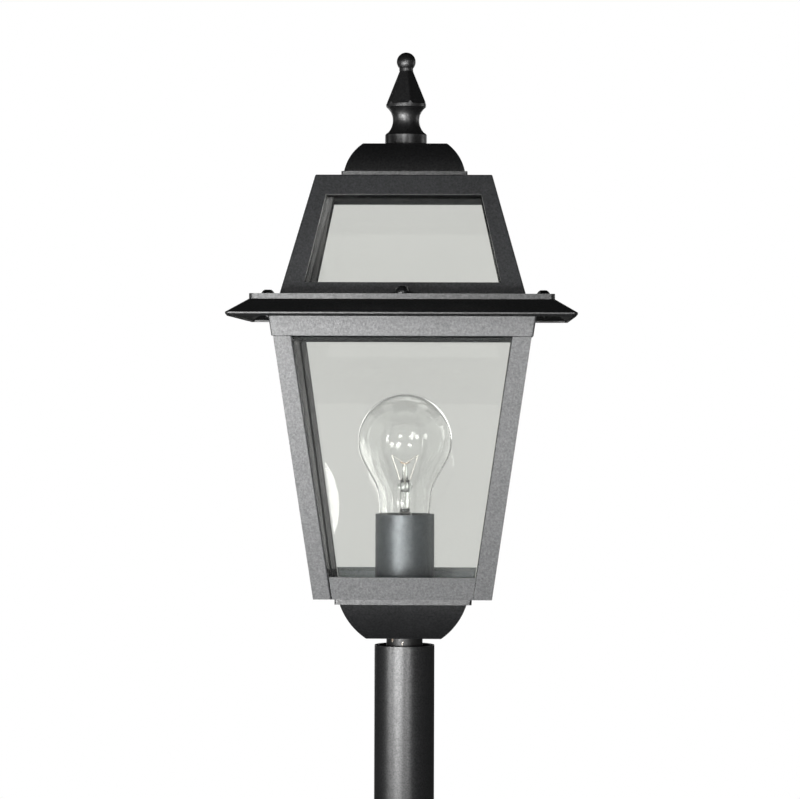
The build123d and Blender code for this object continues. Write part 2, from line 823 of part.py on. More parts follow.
with BuildPart() as roof_cap:
    add(cap_outside)
    square_block(roof_top, cap_flange_half, cap_flange_thickness, roof_edge_round)
    add(cap_inside, mode=Mode.SUBTRACT)
    square_block(roof_top, cap_half_bottom - cap_wall, cap_flange_thickness, mode=Mode.SUBTRACT)
    round_block(cap_top - cap_wall, stud_radius + hole_play, cap_wall, mode=Mode.SUBTRACT)
save(roof_cap, "roof_cap")

stud_bottom = roof_plate_bottom - stud_nut_height - stud_spare
stud_top = finial_bottom + stud_reach

with BuildPart() as finial_stud:
    round_block(stud_bottom, stud_radius, stud_top - stud_bottom)
save(finial_stud, "finial_stud")

with BuildPart() as stud_nuts:
    for nut_bottom in (roof_plate_bottom - stud_nut_height, roof_top):
        hex_blocks(nut_bottom, [(0, 0)], stud_nut_flats, stud_nut_height)
        round_block(nut_bottom, stud_radius + running_gap, stud_nut_height, mode=Mode.SUBTRACT)
save(stud_nuts, "stud_nuts")

with BuildPart() as finial_washer:
    round_block(cap_top, washer_radius, washer_thickness)
    round_block(cap_top, stud_radius + hole_play, washer_thickness, mode=Mode.SUBTRACT)
save(finial_washer, "finial_washer")


def facet_sketch(height):
    """Faceted outline of the finial's cone at a height above its base."""
    share = (height - finial_cone_height) / (finial_neck_height - finial_cone_height)
    radius = finial_cone_radius + share * (finial_neck_radius - finial_cone_radius)
    with BuildSketch(Plane.XY.offset(finial_bottom + height)) as outline:
        RegularPolygon(radius * (1 - finial_facet_depth), finial_facets, major_radius=False,
                       rotation=finial_facet_turn - 90)
    return outline.sketch


with BuildPart() as facet_cutter:
    round_block(finial_bottom + finial_ledge_height, 2 * finial_cone_radius,
                finial_neck_height - finial_ledge_height)
    loft([facet_sketch(finial_ledge_height), facet_sketch(finial_neck_height)], ruled=True,
         mode=Mode.SUBTRACT)

ball_middle = finial_height - finial_ball_radius
ball_foot = ball_middle - math.sqrt(finial_ball_radius ** 2 - finial_neck_radius ** 2)

with BuildPart() as finial:
    with BuildSketch(Plane.XZ) as finial_half:
        with BuildLine():
            base = finial_bottom
            disc_edge = base + finial_disc_height
            waist = base + finial_waist_height
            cone = base + finial_cone_height
            Line((0, base), (finial_disc_radius, base))
            Line((finial_disc_radius, base), (finial_disc_radius, disc_edge - finial_disc_round))
            RadiusArc((finial_disc_radius, disc_edge - finial_disc_round),
                      (finial_flare_radius, disc_edge), -2 * finial_disc_round)
            TangentArc((finial_waist_radius, waist), (finial_flare_radius, disc_edge),
                       tangent=(0, -1))
            TangentArc((finial_waist_radius, waist),
                       (finial_cone_radius, cone - finial_rim_height), tangent=(0, 1))
            Line((finial_cone_radius, cone - finial_rim_height), (finial_cone_radius, cone))
            Line((finial_cone_radius, cone), (finial_neck_radius, base + finial_neck_height))
            Line((finial_neck_radius, base + finial_neck_height),
                 (finial_neck_radius, base + ball_foot))
            ThreePointArc((finial_neck_radius, base + ball_foot),
                          (finial_ball_radius, base + ball_middle),
                          (0, base + finial_height))
            Line((0, base + finial_height), (0, base))
        make_face()
    revolve(finial_half.sketch, axis=Axis.Z)
    rim_edge = finial.edges().filter_by(GeomType.CIRCLE).filter_by(
        lambda edge: abs(edge.center().Z - cone + finial_rim_height) < fit_gap)
    fillet(rim_edge, finial_rim_round)
    add(facet_cutter.part, mode=Mode.SUBTRACT)
    round_block(finial_bottom, stud_radius + running_gap, stud_reach + stud_hole_spare,
                mode=Mode.SUBTRACT)
save(finial, "finial")

# ---------------------------------------------------------------- lampholder

with BuildPart() as lamp_sleeve:
    round_block(floor_top, sleeve_radius, sleeve_height)
    round_block(floor_top, sleeve_radius - sleeve_wall, sleeve_height, mode=Mode.SUBTRACT)
save(lamp_sleeve, "lamp_sleeve")

lead_holes = [(-lead_holder_place, 0), (lead_holder_place, 0)]
holder_screw_places = [(-holder_screw_place, 0), (holder_screw_place, 0)]

with BuildPart() as holder_base:
    round_block(floor_top, sleeve_radius - sleeve_wall - fit_gap, holder_base_height)
    round_block(floor_top, holder_base_bore, holder_base_height - holder_base_top,
                mode=Mode.SUBTRACT)
    round_blocks(floor_top, lead_holes, lead_radius + hole_play, holder_base_height,
                 mode=Mode.SUBTRACT)
    round_blocks(floor_top, holder_screw_places, screw_radius + running_gap, screw_depth,
                 mode=Mode.SUBTRACT)
save(holder_base, "lampholder_base")

with BuildPart() as holder_screws:
    round_blocks(body_bottom, holder_screw_places, screw_radius, floor_thickness + screw_depth)
    round_blocks(body_bottom - screw_head_height, holder_screw_places, screw_head_radius,
                 screw_head_height)
save(holder_screws, "lampholder_screws")

with BuildPart() as porcelain:
    round_block(porcelain_bottom, porcelain_radius, porcelain_height)
    round_block(contact_bottom, porcelain_step_bore, porcelain_height, mode=Mode.SUBTRACT)
    round_block(shell_bottom, shell_outer_radius + fit_gap, porcelain_height, mode=Mode.SUBTRACT)
    round_blocks(porcelain_bottom, lead_holes, lead_radius + hole_play, porcelain_floor,
                 mode=Mode.SUBTRACT)
save(porcelain, "lampholder_body")

with BuildPart() as screw_shell:
    round_block(shell_bottom, shell_outer_radius, shell_height)
    round_block(shell_bottom, shell_outer_radius - shell_wall, shell_height, mode=Mode.SUBTRACT)
    with BuildSketch(Plane.XY.offset(shell_bottom)) as tab:
        with Locations(((shell_tab_reach + shell_outer_radius - shell_wall / 2) / 2, 0)):
            Rectangle(shell_outer_radius - shell_wall / 2 - shell_tab_reach, shell_tab_width)
    extrude(tab.sketch, amount=shell_wall)
save(screw_shell, "screw_shell")

with BuildPart() as centre_contact:
    with BuildSketch(Plane.XZ) as tongue:
        tongue_top = contact_bottom + contact_rise
        Polygon(
            (-contact_reach, contact_bottom), (-contact_reach / 2, contact_bottom),
            (-bulb_tip_radius / 2, tongue_top - contact_strip),
            (bulb_tip_radius, tongue_top - contact_strip), (bulb_tip_radius, tongue_top),
            (-bulb_tip_radius / 2, tongue_top),
            (-contact_reach / 2, contact_bottom + contact_strip),
            (-contact_reach, contact_bottom + contact_strip), align=None)
    extrude(tongue.sketch, amount=contact_width / 2, both=True)
save(centre_contact, "centre_contact")

# ---------------------------------------------------------------- bulb

insulator_bottom = bulb_bottom + bulb_tip_thickness
cap_skirt_bottom = insulator_bottom + bulb_insulator_height
bulb_middle = bulb_bottom + bulb_length - bulb_radius

with BuildPart() as bulb_tip:
    round_block(bulb_bottom, bulb_tip_radius, bulb_tip_thickness)
save(bulb_tip, "bulb_tip")

with BuildPart() as bulb_insulator:
    with BuildSketch(Plane.XY.offset(insulator_bottom)) as insulator_low:
        Circle(bulb_tip_radius)
    with BuildSketch(Plane.XY.offset(cap_skirt_bottom)) as insulator_high:
        Circle(bulb_insulator_radius)
    loft([insulator_low.sketch, insulator_high.sketch], ruled=True)
save(bulb_insulator, "bulb_insulator")

with BuildPart() as bulb_cap:
    round_block(cap_skirt_bottom, bulb_cap_radius, bulb_cap_top - cap_skirt_bottom)
    round_block(cap_skirt_bottom + bulb_cap_wall, bulb_cap_radius - bulb_cap_wall,
                bulb_cap_top - cap_skirt_bottom, mode=Mode.SUBTRACT)
save(bulb_cap, "bulb_cap")


def bulb_body(inset):
    """Solid of revolution of the bulb's glass, inset from its outside."""
    throat = bulb_bottom + bulb_throat_height
    shoulder = bulb_bottom + bulb_neck_height
    ball = bulb_radius - inset
    turn_off = math.radians(bulb_side_angle)
    side = ball * math.cos(turn_off)
    side_level = bulb_middle - ball * math.sin(turn_off)
    with BuildPart() as body:
        with BuildSketch(Plane.XZ) as half:
            with BuildLine():
                Line((0, bulb_middle + ball), (0, bulb_cap_top))
                Line((0, bulb_cap_top), (bulb_cap_radius - inset, bulb_cap_top))
                Spline((bulb_cap_radius - inset, bulb_cap_top),
                       (bulb_throat_radius - inset, throat),
                       (bulb_neck_radius - inset, shoulder), (side, side_level),
                       tangents=[(1, 2), (math.sin(turn_off), math.cos(turn_off))])
                ThreePointArc((side, side_level), (ball, bulb_middle),
                              (0, bulb_middle + ball))
            make_face()
        revolve(half.sketch, axis=Axis.Z)
    return body.part


with BuildPart() as bulb_glass:
    add(bulb_body(0))
    add(bulb_body(bulb_glass_wall), mode=Mode.SUBTRACT)
save(bulb_glass, "bulb_glass")

stem_top = bulb_bottom + stem_top_height
stem_foot = bulb_cap_top


def straight_wire(start, end, radius):
    """Straight round wire between two points."""
    run = Vector(*end) - Vector(*start)
    with BuildSketch(Plane(Vector(*start), z_dir=run)) as outline:
        Circle(radius)
    extrude(outline.sketch, amount=run.length)


with BuildPart() as bulb_filament:
    wire_top = bulb_bottom + filament_height
    sag = wire_top - filament_dip
    for direction in (-1, 1):
        straight_wire((direction * stem_radius / 2, 0, stem_top - stem_radius),
                      (direction * lead_wire_foot, 0, stem_top + stem_radius / 2),
                      lead_wire_radius)
        straight_wire((direction * lead_wire_foot, 0, stem_top + stem_radius / 2),
                      (direction * filament_half_span, 0, wire_top), lead_wire_radius)
        straight_wire((direction * filament_half_span, 0, wire_top), (0, 0, sag),
                      filament_radius)
    straight_wire((0, 0, stem_top - stem_radius), (0, 0, sag), lead_wire_radius)
save(bulb_filament, "bulb_filament")

with BuildPart() as bulb_stem:
    with BuildSketch(Plane.XZ) as stem_half:
        with BuildLine():
            stem_middle = (stem_foot + stem_top) / 2
            Line((0, stem_top), (0, stem_foot))
            Line((0, stem_foot), (stem_foot_radius, stem_foot))
            ThreePointArc((stem_foot_radius, stem_foot),
                          (stem_radius + (stem_foot_radius - stem_radius) / 4,
                           stem_foot + (stem_middle - stem_foot) / 3),
                          (stem_radius, stem_middle))
            Line((stem_radius, stem_middle), (stem_radius, stem_top))
            Line((stem_radius, stem_top), (0, stem_top))
        make_face()
    revolve(stem_half.sketch, axis=Axis.Z)
    add(bulb_filament.part, mode=Mode.SUBTRACT)
save(bulb_stem, "bulb_stem")

# ---------------------------------------------------------------- wiring

block_middle = block_offset + block_depth / 2
pole_places = [(pole * block_pole_pitch, block_middle + row * block_depth / 4)
               for pole in (-1, 0, 1) for row in (-1, 1)]
entry_level = block_top - block_entry_height

with BuildPart() as terminal_block:
    with BuildSketch(Plane.XY.offset(block_bottom)) as block_outline:
        with Locations((0, block_middle)):
            Rectangle(2 * block_half_length, block_depth)
    extrude(block_outline.sketch, amount=block_height)
    round_blocks(block_bottom, pole_places, block_screw_well, block_height / 2,
                 mode=Mode.SUBTRACT)
    for pole in (0, 1):
        with BuildSketch(Plane.XZ.offset(-block_offset)) as entry:
            with Locations((pole * block_pole_pitch, entry_level)):
                Circle(lead_radius + hole_play)
        extrude(entry.sketch, amount=-lead_entry_depth - hole_play, mode=Mode.SUBTRACT)
save(terminal_block, "terminal_block")

with BuildPart() as terminal_screws:
    round_blocks(block_bottom + block_screw_sink, pole_places, block_screw_radius,
                 block_height / 2 - block_screw_sink)
save(terminal_screws, "terminal_screws")

with BuildPart() as grommet:
    round_block(body_bottom - grommet_flange_thickness, grommet_flange_radius,
                floor_thickness + 2 * grommet_flange_thickness)
    with BuildSketch(Plane.XY.offset(body_bottom)) as groove:
        Circle(grommet_flange_radius)
        Circle(grommet_hole - fit_gap, mode=Mode.SUBTRACT)
    extrude(groove.sketch, amount=floor_thickness, mode=Mode.SUBTRACT)
    round_block(body_bottom - grommet_flange_thickness, grommet_bore,
                floor_thickness + 2 * grommet_flange_thickness, mode=Mode.SUBTRACT)
save(grommet, "grommet")

with BuildPart() as lamp_leads:
    block_face = block_offset + lead_entry_depth
    lift = floor_top + 2 * lead_radius
    turn_in = porcelain_bottom - holder_base_top - lead_radius / 2
    for pole, sign, top in ((0, -1, contact_bottom), (1, 1, shell_bottom)):
        start_x = pole * block_pole_pitch
        wire((
            (start_x, block_face, entry_level),
            (start_x, -lead_grommet_offset, entry_level),
            (sign * lead_grommet_place, -lead_grommet_offset, body_bottom - lead_radius),
            (sign * lead_grommet_place, -lead_grommet_offset, lift),
            (sign * lead_holder_place, 0, turn_in),
            (sign * lead_holder_place, 0, top),
        ), lead_radius, lead_bend)
save(lamp_leads, "lamp_leads")

earth_x, earth_y = earth_place
ring_level = body_bottom - earth_ring_thickness
lead_level = body_bottom - earth_ring_thickness / 2 - lead_radius

with BuildPart() as earth_lead:
    wire((
        (-block_half_length, block_middle, entry_level),
        (earth_x, block_middle, entry_level),
        (earth_x, block_offset / 2, lead_level),
        (earth_x, earth_y + earth_ring_radius - earth_lead_lap, lead_level),
    ), lead_radius, lead_bend)
    round_blocks(ring_level, [earth_place], earth_ring_radius, earth_ring_thickness)
    round_blocks(ring_level - 2 * lead_radius, [earth_place], earth_screw_radius + hole_play,
                 earth_ring_thickness + 2 * lead_radius, mode=Mode.SUBTRACT)
save(earth_lead, "earth_lead")

with BuildPart() as earth_screw:
    earth_nut_bottom = ring_level - earth_nut_height
    earth_screw_bottom = earth_nut_bottom - earth_screw_spare
    hex_blocks(earth_nut_bottom, [earth_place], earth_nut_flats, earth_nut_height)
    round_blocks(earth_screw_bottom, [earth_place], earth_screw_radius,
                 floor_top - earth_screw_bottom)
    round_blocks(floor_top, [earth_place], earth_head_radius, bowl_screw_head_height)
save(earth_screw, "earth_screw")
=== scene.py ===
import math

import bmesh
import bpy
from mathutils import Matrix, Vector


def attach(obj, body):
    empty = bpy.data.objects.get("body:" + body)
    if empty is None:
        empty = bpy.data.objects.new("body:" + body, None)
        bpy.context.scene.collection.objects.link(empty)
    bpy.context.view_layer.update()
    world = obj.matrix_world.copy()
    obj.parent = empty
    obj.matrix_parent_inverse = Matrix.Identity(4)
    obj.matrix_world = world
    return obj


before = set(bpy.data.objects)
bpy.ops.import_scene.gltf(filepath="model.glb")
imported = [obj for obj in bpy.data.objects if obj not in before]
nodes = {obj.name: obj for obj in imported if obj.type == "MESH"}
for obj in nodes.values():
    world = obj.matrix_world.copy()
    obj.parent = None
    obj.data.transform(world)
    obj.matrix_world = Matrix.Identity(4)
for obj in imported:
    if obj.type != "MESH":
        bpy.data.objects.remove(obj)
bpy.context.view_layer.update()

# Post top lantern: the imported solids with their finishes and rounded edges, and
# inside the lamp the stem's glass button, the coiled filament and its hook.
# Screw threads are relief in the material. Metres, +Z up.

SIDES = ("front", "right", "back", "left")
CORNERS = ("front_right", "back_right", "back_left", "front_left")
RAILS = ["bottom_rail_" + side for side in SIDES]
REAR_RAIL = "bottom_rail_back"
CORNER_POSTS = ["corner_post_" + corner for corner in CORNERS]
PANES = [part + "_pane_" + side for part in ("body", "roof") for side in SIDES]
MM = 0.001
WHITE = (1.0, 1.0, 1.0)

# ---------------------------------------------------------------- camera

# The turns are in degrees: yaw round +Z, pitch above the horizon, roll round the view.
PHOTO_WIDTH = 800
FOCAL_PIXELS = 3240.0
SENSOR_WIDTH = 36.0
CAMERA_PLACE = (0.0510, -2.0584, 0.2969)
CAMERA_YAW = 1.512
CAMERA_PITCH = -0.311
CAMERA_ROLL = 0.177

camera_data = bpy.data.cameras.new("camera")
camera_data.sensor_width = SENSOR_WIDTH
camera_data.lens = FOCAL_PIXELS / PHOTO_WIDTH * SENSOR_WIDTH
camera_data.clip_start = 0.05
camera_data.clip_end = 100.0
camera = bpy.data.objects.new("camera", camera_data)
camera.matrix_world = (
    Matrix.Translation(CAMERA_PLACE)
    @ Matrix.Rotation(math.radians(CAMERA_YAW), 4, "Z")
    @ Matrix.Rotation(math.radians(90 + CAMERA_PITCH), 4, "X")
    @ Matrix.Rotation(math.radians(CAMERA_ROLL), 4, "Z")
)
bpy.context.scene.collection.objects.link(camera)
bpy.context.scene.camera = camera
bpy.context.scene.view_settings.view_transform = "Standard"

# ---------------------------------------------------------------- materials


class Finish:
    """A material with its Principled shader and short calls for its nodes."""

    def __init__(self, name, material=None):
        """Starts a new material, or takes up one that is already made."""
        self.material = material or bpy.data.materials.new(name)
        self.material.use_nodes = True
        self.tree = self.material.node_tree
        self.shader = self.tree.nodes["Principled BSDF"]
        self.place = self.add("ShaderNodeTexCoord").outputs["Object"]

    def add(self, kind, **settings):
        node = self.tree.nodes.new(kind)
        for key, value in settings.items():
            setattr(node, key, value)
        return node

    def link(self, source, target):
        self.tree.links.new(source, target)

    def stretch(self, scale):
        """The object's coordinates, scaled apart in X, Y and Z."""
        node = self.add("ShaderNodeMapping")
        node.inputs["Scale"].default_value = scale
        self.link(self.place, node.inputs["Vector"])
        return node.outputs["Vector"]

    def noise(self, size, detail=2.0, rough=0.5, place=None):
        """Noise whose grain is about size metres wide."""
        node = self.add("ShaderNodeTexNoise")
        node.inputs["Scale"].default_value = 1 / size
        node.inputs["Detail"].default_value = detail
        node.inputs["Roughness"].default_value = rough
        self.link(place or self.place, node.inputs["Vector"])
        return node.outputs["Fac"]

    def cells(self, size):
        """Distance to the middle of cells about size metres wide."""
        node = self.add("ShaderNodeTexVoronoi")
        node.inputs["Scale"].default_value = 1 / size
        self.link(self.place, node.inputs["Vector"])
        return node.outputs["Distance"]

    def span(self, source, low, high, start=0.3, end=0.7):
        """Number between low and high as source goes from start to end."""
        node = self.add("ShaderNodeMapRange")
        node.inputs["From Min"].default_value = start
        node.inputs["From Max"].default_value = end
        node.inputs["To Min"].default_value = low
        node.inputs["To Max"].default_value = high
        self.link(source, node.inputs["Value"])
        return node.outputs["Result"]

    def ramp(self, source, *stops):
        """Colour by source, from stops of (place, colour)."""
        node = self.add("ShaderNodeValToRGB")
        elements = node.color_ramp.elements
        elements[0].position, elements[-1].position = stops[0][0], stops[-1][0]
        elements[0].color, elements[-1].color = (*stops[0][1], 1), (*stops[-1][1], 1)
        for place, colour in stops[1:-1]:
            elements.new(place).color = (*colour, 1)
        self.link(source, node.inputs["Fac"])
        return node.outputs["Color"]

    def blend(self, share, first, second):
        """Mix of two colours by share."""
        node = self.add("ShaderNodeMix", data_type="RGBA")
        self.link(share, node.inputs["Factor"])
        self.link(first, node.inputs["A"])
        self.link(second, node.inputs["B"])
        return node.outputs["Result"]

    def parts(self):
        """The object's coordinates as sockets X, Y and Z."""
        node = self.add("ShaderNodeSeparateXYZ")
        self.link(self.place, node.inputs["Vector"])
        return node.outputs

    def maths(self, operation, first, second):
        """Result of a sum on sockets or numbers."""
        node = self.add("ShaderNodeMath", operation=operation)
        for socket, value in zip(node.inputs, (first, second)):
            if isinstance(value, (int, float)):
                socket.default_value = value
            else:
                self.link(value, socket)
        return node.outputs[0]

    def bump(self, height, strength, distance):
        """Relief of distance metres, added to any relief already there."""
        node = self.add("ShaderNodeBump")
        node.inputs["Strength"].default_value = strength
        node.inputs["Distance"].default_value = distance
        self.link(height, node.inputs["Height"])
        normal = self.shader.inputs["Normal"]
        if normal.is_linked:
            self.link(normal.links[0].from_socket, node.inputs["Normal"])
        self.link(node.outputs["Normal"], normal)

    def colour(self, source):
        self.link(source, self.shader.inputs["Base Color"])

    def rough(self, source):
        self.link(source, self.shader.inputs["Roughness"])

    def set(self, **values):
        """Plain values on the shader's own sockets."""
        for key, value in values.items():
            self.shader.inputs[key.replace("_", " ")].default_value = value


def grey(level, tint=WHITE):
    return tuple(level * part for part in tint)


# Where the hollow shells' outer faces lie: half-width at height 0 and its change
# with height. What lies deeper than the wall is seen as the inside, which gets painted
# shade, and on the rear rail painted light.
BODY_SHELL = (0.03181, 0.14562)
ROOF_SHELL = (0.17339, -0.27919)
WALL = 2.2 * MM
INSIDE_START = 0.8 * WALL
INSIDE_END = 0.95 * WALL
COOL = (0.97, 1.0, 1.06)
# Bluish tint of the insides and the chamber floor: partly the coat's cool tone, partly painted shadow
# colour.
COOL_SHADOW_TINT = (0.86, 1.0, 1.06)
SLEEVE_TINT = (0.80, 1.0, 1.14)
SLEEVE_SHEEN = (0.90, 0.95, 1.0, 1.0)


def inside_light_share(finish, shell):
    """1 for what lies inside a tapered square shell, 0 for its outer faces: where the insides' painted
    shade and painted light go.
    """
    base_half, slope = shell
    parts = finish.parts()
    half = finish.maths("MAXIMUM", *[finish.maths("ABSOLUTE", parts[axis], 0) for axis in ("X", "Y")])
    face = finish.maths("MULTIPLY_ADD", parts["Z"], slope)
    face.node.inputs[2].default_value = base_half
    depth = finish.maths("SUBTRACT", face, half)
    return finish.span(depth, 0.0, 1.0, INSIDE_START, INSIDE_END)


PEEL_STOPS = (0.36, 0.66)
PEEL_DEPTH = 0.12 * MM
CELL_DEPTH = 0.08 * MM
CLOUD_SIZE = 30 * MM
SHEEN_SPREAD = 0.3


def powder_coat(name, dark, light, rough_low, rough_high, relief, grain, specular,
                shell=None, inner_light_level=1.0, inner_specular=1.0, tint=COOL):
    """Black powder coat: a fine orange peel with a soft sheen. Inside a shell its
    colour carries painted shade, and painted light where the inner level is above 1:
    it is the inner level times the outside's, in a bluish painted shadow tint, and its
    sheen inner_specular times the outside's."""
    finish = Finish(name)
    peel = finish.noise(grain, 3.0, 0.55)

    def speckle(dark_share, light_share, shade):
        levels = (grey(dark * dark_share, shade), grey(light * light_share, shade))
        return finish.ramp(peel, *zip(PEEL_STOPS, levels))

    cloud = finish.span(finish.noise(CLOUD_SIZE, 2.0), 0.0, 1.0)
    skin = finish.blend(cloud, speckle(1.0, 1.0, tint), speckle(1.25, 1.2, tint))
    spots = finish.noise(grain * 1.6, 2.0, 0.6)
    sheen = finish.span(spots, specular * (1 - SHEEN_SPREAD), specular * (1 + SHEEN_SPREAD))
    # Inside the shell: painted shade, and painted light where the inner level is above 1.
    if shell:
        inside = inside_light_share(finish, shell)
        skin = finish.blend(inside, skin, speckle(inner_light_level, inner_light_level, COOL_SHADOW_TINT))
        sheen = finish.maths("MULTIPLY", sheen, finish.span(inside, 1.0, inner_specular, 0.0, 1.0))
    finish.colour(skin)
    finish.link(sheen, finish.shader.inputs["Specular IOR Level"])
    finish.rough(finish.span(finish.noise(grain * 2.2, 2.0), rough_low, rough_high))
    finish.bump(peel, relief, PEEL_DEPTH)
    finish.bump(finish.cells(grain * 1.7), relief * 0.3, CELL_DEPTH)
    return finish.material


def metal(name, dark, light, rough_low, rough_high, scratch, along=(1, 1, 1)):
    """Plain metal with fine marks stretched along one direction."""
    finish = Finish(name)
    marks = finish.noise(scratch, 3.0, 0.6, finish.stretch(along))
    finish.colour(finish.ramp(marks, (0.3, dark), (0.7, light)))
    finish.rough(finish.span(marks, rough_low, rough_high))
    finish.bump(marks, 0.15, 0.05 * MM)
    finish.set(Metallic=1.0)
    return finish.material


def threaded(name, dark, light, pitch):
    """Metal round the upright axis with a screw thread in its relief."""
    material = metal(name, dark, light, 0.25, 0.4, 0.8 * MM)
    finish = Finish(name, material)
    parts = finish.parts()
    angle = finish.maths("ARCTAN2", parts["Y"], parts["X"])
    turns = finish.maths("DIVIDE", angle, 2 * math.pi)
    rise = finish.maths("DIVIDE", parts["Z"], pitch)
    ridge = finish.maths("PINGPONG", finish.maths("ADD", turns, rise), 0.5)
    finish.bump(ridge, 1.0, 0.6 * pitch)
    return material


def moulded(name, dark, light, rough_low, rough_high, grain, relief=0.2, specular=0.5):
    """Plastic, rubber or porcelain with a fine even grain."""
    finish = Finish(name)
    skin = finish.noise(grain, 3.0, 0.6)
    cloud = finish.noise(grain * 25, 2.0)
    finish.colour(finish.ramp(cloud, (0.3, dark), (0.7, light)))
    finish.rough(finish.span(skin, rough_low, rough_high))
    finish.bump(skin, relief, 0.06 * MM)
    finish.set(Specular_IOR_Level=specular)
    return finish.material


def clear_glass(name, dark, light, cloud_size, ior):
    """Clear glass with a faint grey body and very slight waves."""
    finish = Finish(name)
    cloud = finish.noise(cloud_size, 1.0)
    finish.colour(finish.ramp(cloud, (0.35, dark), (0.65, light)))
    finish.bump(cloud, 0.02, 0.05 * MM)
    finish.set(Roughness=0.0, Transmission_Weight=1.0, IOR=ior)
    return finish.material


def worn_coat(name):
    """Dark coat rubbed through to bare metal in a few flecks."""
    finish = Finish(name)
    wear = finish.noise(3.0 * MM, 3.0, 0.6)
    bare = finish.span(wear, 0.0, 1.0, 0.67, 0.72)
    skin = finish.ramp(finish.noise(1.0 * MM), (0.3, grey(0.006)), (0.7, grey(0.014)))
    metal_tone = finish.ramp(finish.noise(1.5 * MM), (0.4, (0.55, 0.33, 0.17)),
                             (0.6, (0.75, 0.68, 0.6)))
    finish.colour(finish.blend(bare, skin, metal_tone))
    finish.link(bare, finish.shader.inputs["Metallic"])
    finish.rough(finish.span(wear, 0.35, 0.5))
    finish.bump(wear, 0.3, 0.1 * MM)
    return finish.material


# The body's and roof's insides get painted shade at a quarter of the outside's colour; the rear rail's
# inside gets painted light at four times it.
body_coat = powder_coat("body_coat", 0.017, 0.038, 0.42, 0.48, 0.65, 0.85 * MM, 1.0,
                        BODY_SHELL, 0.25, 0.05)
rear_lit_coat = powder_coat("rear_lit_coat", 0.017, 0.038, 0.42, 0.48, 0.65, 0.85 * MM, 1.0,
                        BODY_SHELL, 4.0, 0.6)
roof_coat = powder_coat("roof_coat", 0.010, 0.022, 0.30, 0.36, 0.8, 0.85 * MM, 0.82,
                        ROOF_SHELL, 0.25, 0.04)
bowl_coat = powder_coat("bowl_coat", 0.005, 0.012, 0.34, 0.40, 0.8, 0.85 * MM, 0.80)
smooth_coat = powder_coat("smooth_coat", 0.004, 0.008, 0.34, 0.40, 0.15, 0.7 * MM, 0.82)
finial_coat = powder_coat("finial_coat", 0.002, 0.004, 0.36, 0.42, 0.08, 0.8 * MM, 0.90)
cap_coat = powder_coat("cap_coat", 0.002, 0.004, 0.33, 0.39, 0.3, 0.8 * MM, 0.90)
dome_coat = powder_coat("dome_coat", 0.003, 0.006, 0.20, 0.28, 0.08, 0.6 * MM, 0.60)
# The chamber floor takes the bluish tint: partly the coat's cool tone, partly painted shadow colour.
floor_coat = powder_coat("floor_coat", 0.026, 0.044, 0.36, 0.48, 0.12, 0.8 * MM, 0.6,
                         tint=COOL_SHADOW_TINT)
sleeve_coat = powder_coat("sleeve_coat", 0.005, 0.015, 0.34, 0.44, 1.0, 1.2 * MM, 0.85,
                          tint=SLEEVE_TINT)
sleeve_shader = sleeve_coat.node_tree.nodes["Principled BSDF"]
sleeve_shader.inputs["Specular Tint"].default_value = SLEEVE_SHEEN
pane_glass = clear_glass("pane_glass", (0.78, 0.785, 0.765), (0.80, 0.805, 0.785), 120 * MM, 1.46)
bulb_glass = clear_glass("bulb_glass", (0.975, 0.98, 0.975), (0.985, 0.99, 0.985), 40 * MM, 1.48)
stem_glass = clear_glass("stem_glass", (0.93, 0.95, 0.94), (0.96, 0.97, 0.96), 8 * MM, 1.5)
black_glass = moulded("black_glass", grey(0.006), grey(0.012), 0.06, 0.12, 0.8 * MM, 0.05)
zinc = metal("zinc", (0.50, 0.51, 0.53), (0.68, 0.68, 0.70), 0.28, 0.42, 1.2 * MM)
brass = metal("brass", (0.62, 0.45, 0.20), (0.80, 0.62, 0.32), 0.22, 0.36, 1.5 * MM, (1, 1, 6))
stud_thread = threaded("stud_thread", (0.50, 0.51, 0.53), (0.68, 0.68, 0.70), 1.0 * MM)
cap_thread = threaded("cap_thread", (0.70, 0.71, 0.73), (0.84, 0.84, 0.86), 3.63 * MM)
solder = metal("solder", (0.45, 0.45, 0.46), (0.62, 0.62, 0.63), 0.35, 0.5, 1.5 * MM)
tungsten = metal("tungsten", (0.50, 0.48, 0.44), (0.70, 0.68, 0.63), 0.35, 0.5, 0.3 * MM)
molybdenum = metal("molybdenum", (0.20, 0.13, 0.08), (0.34, 0.24, 0.15), 0.4, 0.55, 0.3 * MM)
silicone = moulded("silicone", grey(0.010), grey(0.020), 0.5, 0.65, 0.6 * MM)
black_plastic = moulded("black_plastic", grey(0.018), grey(0.028), 0.45, 0.6, 0.7 * MM)
white_plastic = moulded("white_plastic", (0.66, 0.65, 0.61), (0.74, 0.73, 0.69), 0.4, 0.5, 0.8 * MM)
porcelain = moulded("porcelain", (0.74, 0.72, 0.66), (0.82, 0.80, 0.75), 0.12, 0.22, 2.0 * MM, 0.08)
lead_skin = moulded("lead_skin", (0.42, 0.15, 0.045), (0.52, 0.20, 0.06), 0.35, 0.45, 0.8 * MM)
earth_skin = moulded("earth_skin", (0.13, 0.32, 0.05), (0.20, 0.42, 0.07), 0.35, 0.45, 0.8 * MM)
neck_coat = worn_coat("neck_coat")


def dress(material, *names):
    """Gives CAD nodes a material."""
    for name in names:
        nodes[name].data.materials.clear()
        nodes[name].data.materials.append(material)


